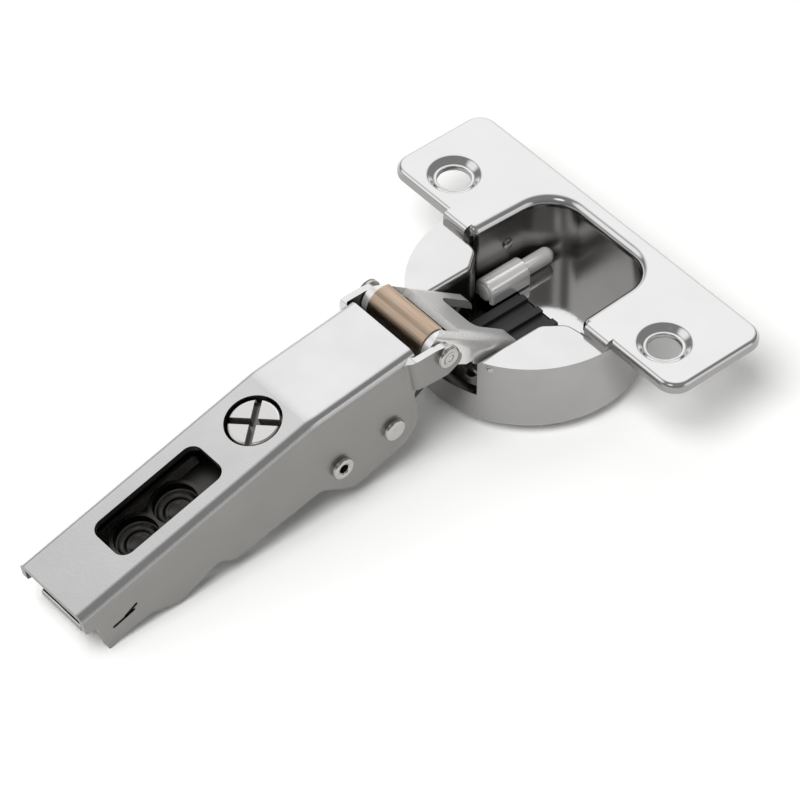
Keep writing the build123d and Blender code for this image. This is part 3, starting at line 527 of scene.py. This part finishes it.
# pressed dishes in the carriage's web: placed back from the arm's ridge along the facet, in mm
dishes = {"ridge": (-44.51, 0, 6.28), "behind": (20.4, 27.4), "below": 3.7, "profile": [
    (0.02, -1.95), (1.3, -1.9), (2.5, -1.7), (3.2, -1.25), (3.36, -0.75), (3.1, -0.72),
    (2.95, -1.05), (2.4, -1.4), (2.1, -1.42), (1.9, -1.3), (1.7, -1.3), (1.5, -1.45),
    (1.1, -1.6), (0.02, -1.65)]}
facetAlong = Vector((facetUp.z, 0, -facetUp.x))
dishEnds = []
for behind in dishes["behind"]:
    middle = Vector(dishes["ridge"]) - facetAlong * behind - facetUp * dishes["below"]
    dishEnds.append((metres(middle), facetUp))
onEnds("pressedDishes", dishes["profile"], dishEnds, "phosphatedSteel", "carriage")

# rounded noses in the damper's hoods, one on each sliding body: mm
noses = {"front": -0.6, "across": 8.8, "height": -8.2, "profile": [
    (1.5, -0.5), (1.5, -0.1), (1.42, 0.06), (1.2, 0.16), (0.8, 0.22), (0.4, 0.25), (0.02, 0.25)]}
for side, hand in ((1, "left"), (-1, "right")):
    noseEnd = (metres(Vector((noses["front"], side * noses["across"], noses["height"]))),
               Vector((-1, 0, 0)))
    onEnds("hoodNose_" + hand, noses["profile"], [noseEnd], "barrelNickelPlate",
           "damper_hood_" + hand)

# flat studs staked through the well's side walls: mm
studs = {"x": 6.0, "wall": 10.92, "z": -4.3, "profile": [
    (0.87, -0.02), (0.85, 0.03), (0.78, 0.06), (0.02, 0.07)]}
studEnds = [(metres(Vector((studs["x"], side * studs["wall"], studs["z"]))),
             Vector((0, -side, 0))) for side in (1, -1)]
onEnds("stakedStuds", studs["profile"], studEnds, "turnedBrightSteel", "cup")
print("turned details placed")

# catch spring, wound round the catch's pin: wire and coil radius in mm
coil = {"turns": 5.0, "wire": 0.27, "radius": 1.22, "resolution": 24, "rim": 10}
coilTree = bpy.data.node_groups.new("woundSpring", "GeometryNodeTree")
coilSizes = {"Turns": coil["turns"], "Wire radius": metres(coil["wire"]),
             "Coil radius": metres(coil["radius"])}
for name, value in coilSizes.items():
    size = coilTree.interface.new_socket(name, in_out="INPUT", socket_type="NodeSocketFloat")
    size.default_value = value
coilTree.interface.new_socket("Geometry", in_out="OUTPUT", socket_type="NodeSocketGeometry")
given = addNode(coilTree, "NodeGroupInput")
low, high = nodeBox("catch_spring")
doubled = addNode(coilTree, "ShaderNodeMath", {"operation": "MULTIPLY", 1: 2.0},
                  {0: given.outputs["Wire radius"]})
rise = addNode(coilTree, "ShaderNodeMath", {"operation": "SUBTRACT", 0: high.y - low.y},
               {1: doubled.outputs[0]})
winding = addNode(coilTree, "GeometryNodeCurveSpiral", {"Resolution": coil["resolution"]}, {
    "Rotations": given.outputs["Turns"], "Start Radius": given.outputs["Coil radius"],
    "End Radius": given.outputs["Coil radius"], "Height": rise.outputs[0]})
rim = addNode(coilTree, "GeometryNodeCurvePrimitiveCircle", {"Resolution": coil["rim"]},
              {"Radius": given.outputs["Wire radius"]})
swept = addNode(coilTree, "GeometryNodeCurveToMesh", {"Fill Caps": True},
                {"Curve": winding.outputs[0], "Profile Curve": rim.outputs[0]})
# laid along Y, from the sleeve's low end
lain = addNode(coilTree, "GeometryNodeTransform", {
    "Rotation": (-math.pi / 2, 0, 0),
    "Translation": ((low.x + high.x) / 2, low.y + metres(coil["wire"]), (low.z + high.z) / 2)},
    {"Geometry": swept.outputs[0]})
plain = addNode(coilTree, "GeometryNodeRealizeInstances", links={"Geometry": lain.outputs[0]})
coated = addNode(coilTree, "GeometryNodeSetMaterial", {"Material": made["temperedSpringSteel"]},
                 {"Geometry": plain.outputs[0]})
result = addNode(coilTree, "NodeGroupOutput")
coilTree.links.new(coated.outputs[0], result.inputs[0])
winder = addObject("winder", bpy.data.meshes.new("winder"))
winder.modifiers.new("woundSpring", "NODES").node_group = coilTree
coilMesh = evaluatedMesh(winder)
bpy.data.objects.remove(winder)
catchCoil = addPiece("catchCoil", coilMesh, "temperedSpringSteel", "carriage")
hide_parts("catch_spring")
print("catch spring wound")
